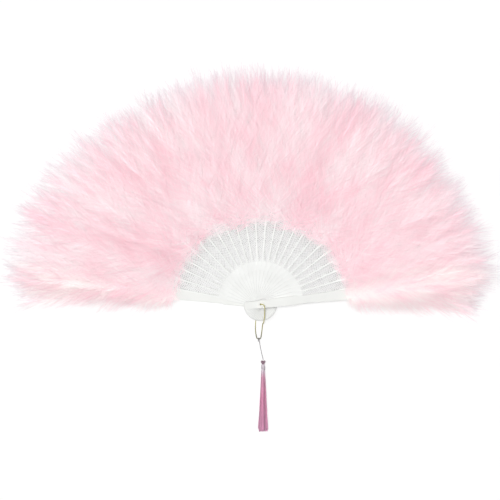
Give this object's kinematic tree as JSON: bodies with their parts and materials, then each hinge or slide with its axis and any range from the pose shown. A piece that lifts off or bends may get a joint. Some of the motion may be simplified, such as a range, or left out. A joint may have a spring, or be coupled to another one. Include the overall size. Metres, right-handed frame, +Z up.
{
  "type": "folding feather fan",
  "caption": "Open folding hand fan: pierced plastic sticks turn on a hollow rivet, each carries a fluffy feather plume, and a cord through the rivet holds a tassel.",
  "frame": {"origin": "on the surface that the open fan lies on, under the middle of the fan's box without its cord and tassel", "axes": "+X along the open fan's width towards the front guard, +Y from the rivet towards the middle plume's tip, +Z up from the surface through the fan's thickness"},
  "size_m": [0.601, 0.4506, 0.0446],
  "materials": {
    "stick_plastic": "moulded white plastic, softly glossy",
    "guard_plastic": "moulded white plastic, softly glossy",
    "rivet_plastic": "moulded white plastic, smooth",
    "pink_feathers": "pale pink marabou down, matt and translucent",
    "pale_feathers": "cream-white to pale pink marabou down, matt and translucent",
    "gold_cord": "twisted metallic-gold cord, slight sheen",
    "tassel_thread": "fine lilac-grey thread",
    "tassel_binding": "pale lilac-pink wound thread",
    "tassel_yarn": "mauve-pink silky yarn"
  },
  "bodies": {
    "rear_guard_body": {"rear_guard": "guard_plastic", "plume_rear_guard": "pale_feathers", "rivet": "rivet_plastic", "rear_washer": "rivet_plastic", "front_washer": "rivet_plastic", "wrist_cord": "gold_cord", "tassel_thread": "tassel_thread", "tassel_knot": "tassel_binding", "tassel_neck": "tassel_binding", "tassel_skirt": "tassel_yarn"},
    "stick_01_body": {"stick_01": "stick_plastic", "plume_01": "pink_feathers"},
    "stick_02_body": {"stick_02": "stick_plastic", "plume_02": "pink_feathers"},
    "stick_03_body": {"stick_03": "stick_plastic", "plume_03": "pink_feathers"},
    "stick_04_body": {"stick_04": "stick_plastic", "plume_04": "pink_feathers"},
    "stick_05_body": {"stick_05": "stick_plastic", "plume_05": "pink_feathers"},
    "stick_06_body": {"stick_06": "stick_plastic", "plume_06": "pink_feathers"},
    "stick_07_body": {"stick_07": "stick_plastic", "plume_07": "pink_feathers"},
    "stick_08_body": {"stick_08": "stick_plastic", "plume_08": "pink_feathers"},
    "stick_09_body": {"stick_09": "stick_plastic", "plume_09": "pink_feathers"},
    "stick_10_body": {"stick_10": "stick_plastic", "plume_10": "pink_feathers"},
    "stick_11_body": {"stick_11": "stick_plastic", "plume_11": "pink_feathers"},
    "stick_12_body": {"stick_12": "stick_plastic", "plume_12": "pink_feathers"},
    "stick_13_body": {"stick_13": "stick_plastic", "plume_13": "pink_feathers"},
    "stick_14_body": {"stick_14": "stick_plastic", "plume_14": "pink_feathers"},
    "stick_15_body": {"stick_15": "stick_plastic", "plume_15": "pink_feathers"},
    "stick_16_body": {"stick_16": "stick_plastic", "plume_16": "pink_feathers"},
    "stick_17_body": {"stick_17": "stick_plastic", "plume_17": "pink_feathers"},
    "stick_18_body": {"stick_18": "stick_plastic", "plume_18": "pink_feathers"},
    "stick_19_body": {"stick_19": "stick_plastic", "plume_19": "pink_feathers"},
    "stick_20_body": {"stick_20": "stick_plastic", "plume_20": "pink_feathers"},
    "stick_21_body": {"stick_21": "stick_plastic", "plume_21": "pink_feathers"},
    "stick_22_body": {"stick_22": "stick_plastic", "plume_22": "pink_feathers"},
    "stick_23_body": {"stick_23": "stick_plastic", "plume_23": "pink_feathers"},
    "front_guard_body": {"front_guard": "guard_plastic", "plume_front_guard": "pale_feathers"}
  },
  "joints": [
    {"name": "fan_fold", "type": "hinge", "parent": "rear_guard_body", "child": "front_guard_body", "pos_m": [0.01083, -0.1345, 0.03035], "axis": [0, 0, 1], "range_deg": [0, 167], "deforming": ["plume_front_guard", "plume_rear_guard"]},
    {"name": "stick_01_turn", "type": "hinge", "parent": "rear_guard_body", "child": "stick_01_body", "pos_m": [0.01083, -0.1345, 0.0085], "axis": [0, 0, 1], "range_deg": [0, 6.96], "deforming": ["plume_01"]},
    {"name": "stick_02_turn", "type": "hinge", "parent": "rear_guard_body", "child": "stick_02_body", "pos_m": [0.01083, -0.1345, 0.00945], "axis": [0, 0, 1], "range_deg": [0, 13.92], "deforming": ["plume_02"]},
    {"name": "stick_03_turn", "type": "hinge", "parent": "rear_guard_body", "child": "stick_03_body", "pos_m": [0.01083, -0.1345, 0.0104], "axis": [0, 0, 1], "range_deg": [0, 20.88], "deforming": ["plume_03"]},
    {"name": "stick_04_turn", "type": "hinge", "parent": "rear_guard_body", "child": "stick_04_body", "pos_m": [0.01083, -0.1345, 0.01135], "axis": [0, 0, 1], "range_deg": [0, 27.83], "deforming": ["plume_04"]},
    {"name": "stick_05_turn", "type": "hinge", "parent": "rear_guard_body", "child": "stick_05_body", "pos_m": [0.01083, -0.1345, 0.0123], "axis": [0, 0, 1], "range_deg": [0, 34.79], "deforming": ["plume_05"]},
    {"name": "stick_06_turn", "type": "hinge", "parent": "rear_guard_body", "child": "stick_06_body", "pos_m": [0.01083, -0.1345, 0.01325], "axis": [0, 0, 1], "range_deg": [0, 41.75], "deforming": ["plume_06"]},
    {"name": "stick_07_turn", "type": "hinge", "parent": "rear_guard_body", "child": "stick_07_body", "pos_m": [0.01083, -0.1345, 0.0142], "axis": [0, 0, 1], "range_deg": [0, 48.71], "deforming": ["plume_07"]},
    {"name": "stick_08_turn", "type": "hinge", "parent": "rear_guard_body", "child": "stick_08_body", "pos_m": [0.01083, -0.1345, 0.01515], "axis": [0, 0, 1], "range_deg": [0, 55.67], "deforming": ["plume_08"]},
    {"name": "stick_09_turn", "type": "hinge", "parent": "rear_guard_body", "child": "stick_09_body", "pos_m": [0.01083, -0.1345, 0.0161], "axis": [0, 0, 1], "range_deg": [0, 62.62], "deforming": ["plume_09"]},
    {"name": "stick_10_turn", "type": "hinge", "parent": "rear_guard_body", "child": "stick_10_body", "pos_m": [0.01083, -0.1345, 0.01705], "axis": [0, 0, 1], "range_deg": [0, 69.58], "deforming": ["plume_10"]},
    {"name": "stick_11_turn", "type": "hinge", "parent": "rear_guard_body", "child": "stick_11_body", "pos_m": [0.01083, -0.1345, 0.018], "axis": [0, 0, 1], "range_deg": [0, 76.54], "deforming": ["plume_11"]},
    {"name": "stick_12_turn", "type": "hinge", "parent": "rear_guard_body", "child": "stick_12_body", "pos_m": [0.01083, -0.1345, 0.01895], "axis": [0, 0, 1], "range_deg": [0, 83.5], "deforming": ["plume_12"]},
    {"name": "stick_13_turn", "type": "hinge", "parent": "rear_guard_body", "child": "stick_13_body", "pos_m": [0.01083, -0.1345, 0.0199], "axis": [0, 0, 1], "range_deg": [0, 90.46], "deforming": ["plume_13"]},
    {"name": "stick_14_turn", "type": "hinge", "parent": "rear_guard_body", "child": "stick_14_body", "pos_m": [0.01083, -0.1345, 0.02085], "axis": [0, 0, 1], "range_deg": [0, 97.42], "deforming": ["plume_14"]},
    {"name": "stick_15_turn", "type": "hinge", "parent": "rear_guard_body", "child": "stick_15_body", "pos_m": [0.01083, -0.1345, 0.0218], "axis": [0, 0, 1], "range_deg": [0, 104.38], "deforming": ["plume_15"]},
    {"name": "stick_16_turn", "type": "hinge", "parent": "rear_guard_body", "child": "stick_16_body", "pos_m": [0.01083, -0.1345, 0.02275], "axis": [0, 0, 1], "range_deg": [0, 111.33], "deforming": ["plume_16"]},
    {"name": "stick_17_turn", "type": "hinge", "parent": "rear_guard_body", "child": "stick_17_body", "pos_m": [0.01083, -0.1345, 0.0237], "axis": [0, 0, 1], "range_deg": [0, 118.29], "deforming": ["plume_17"]},
    {"name": "stick_18_turn", "type": "hinge", "parent": "rear_guard_body", "child": "stick_18_body", "pos_m": [0.01083, -0.1345, 0.02465], "axis": [0, 0, 1], "range_deg": [0, 125.25], "deforming": ["plume_18"]},
    {"name": "stick_19_turn", "type": "hinge", "parent": "rear_guard_body", "child": "stick_19_body", "pos_m": [0.01083, -0.1345, 0.0256], "axis": [0, 0, 1], "range_deg": [0, 132.21], "deforming": ["plume_19"]},
    {"name": "stick_20_turn", "type": "hinge", "parent": "rear_guard_body", "child": "stick_20_body", "pos_m": [0.01083, -0.1345, 0.02655], "axis": [0, 0, 1], "range_deg": [0, 139.17], "deforming": ["plume_20"]},
    {"name": "stick_21_turn", "type": "hinge", "parent": "rear_guard_body", "child": "stick_21_body", "pos_m": [0.01083, -0.1345, 0.0275], "axis": [0, 0, 1], "range_deg": [0, 146.12], "deforming": ["plume_21"]},
    {"name": "stick_22_turn", "type": "hinge", "parent": "rear_guard_body", "child": "stick_22_body", "pos_m": [0.01083, -0.1345, 0.02845], "axis": [0, 0, 1], "range_deg": [0, 153.08], "deforming": ["plume_22"]},
    {"name": "stick_23_turn", "type": "hinge", "parent": "rear_guard_body", "child": "stick_23_body", "pos_m": [0.01083, -0.1345, 0.0294], "axis": [0, 0, 1], "range_deg": [0, 160.04], "deforming": ["plume_23"]}
  ],
  "couplings": [
    {"joint": "stick_01_turn", "follows": "fan_fold", "ratio": 0.041667},
    {"joint": "stick_02_turn", "follows": "fan_fold", "ratio": 0.083333},
    {"joint": "stick_03_turn", "follows": "fan_fold", "ratio": 0.125},
    {"joint": "stick_04_turn", "follows": "fan_fold", "ratio": 0.16667},
    {"joint": "stick_05_turn", "follows": "fan_fold", "ratio": 0.20833},
    {"joint": "stick_06_turn", "follows": "fan_fold", "ratio": 0.25},
    {"joint": "stick_07_turn", "follows": "fan_fold", "ratio": 0.29167},
    {"joint": "stick_08_turn", "follows": "fan_fold", "ratio": 0.33333},
    {"joint": "stick_09_turn", "follows": "fan_fold", "ratio": 0.375},
    {"joint": "stick_10_turn", "follows": "fan_fold", "ratio": 0.41667},
    {"joint": "stick_11_turn", "follows": "fan_fold", "ratio": 0.45833},
    {"joint": "stick_12_turn", "follows": "fan_fold", "ratio": 0.5},
    {"joint": "stick_13_turn", "follows": "fan_fold", "ratio": 0.54167},
    {"joint": "stick_14_turn", "follows": "fan_fold", "ratio": 0.58333},
    {"joint": "stick_15_turn", "follows": "fan_fold", "ratio": 0.625},
    {"joint": "stick_16_turn", "follows": "fan_fold", "ratio": 0.66667},
    {"joint": "stick_17_turn", "follows": "fan_fold", "ratio": 0.70833},
    {"joint": "stick_18_turn", "follows": "fan_fold", "ratio": 0.75},
    {"joint": "stick_19_turn", "follows": "fan_fold", "ratio": 0.79167},
    {"joint": "stick_20_turn", "follows": "fan_fold", "ratio": 0.83333},
    {"joint": "stick_21_turn", "follows": "fan_fold", "ratio": 0.875},
    {"joint": "stick_22_turn", "follows": "fan_fold", "ratio": 0.91667},
    {"joint": "stick_23_turn", "follows": "fan_fold", "ratio": 0.95833}
  ]
}
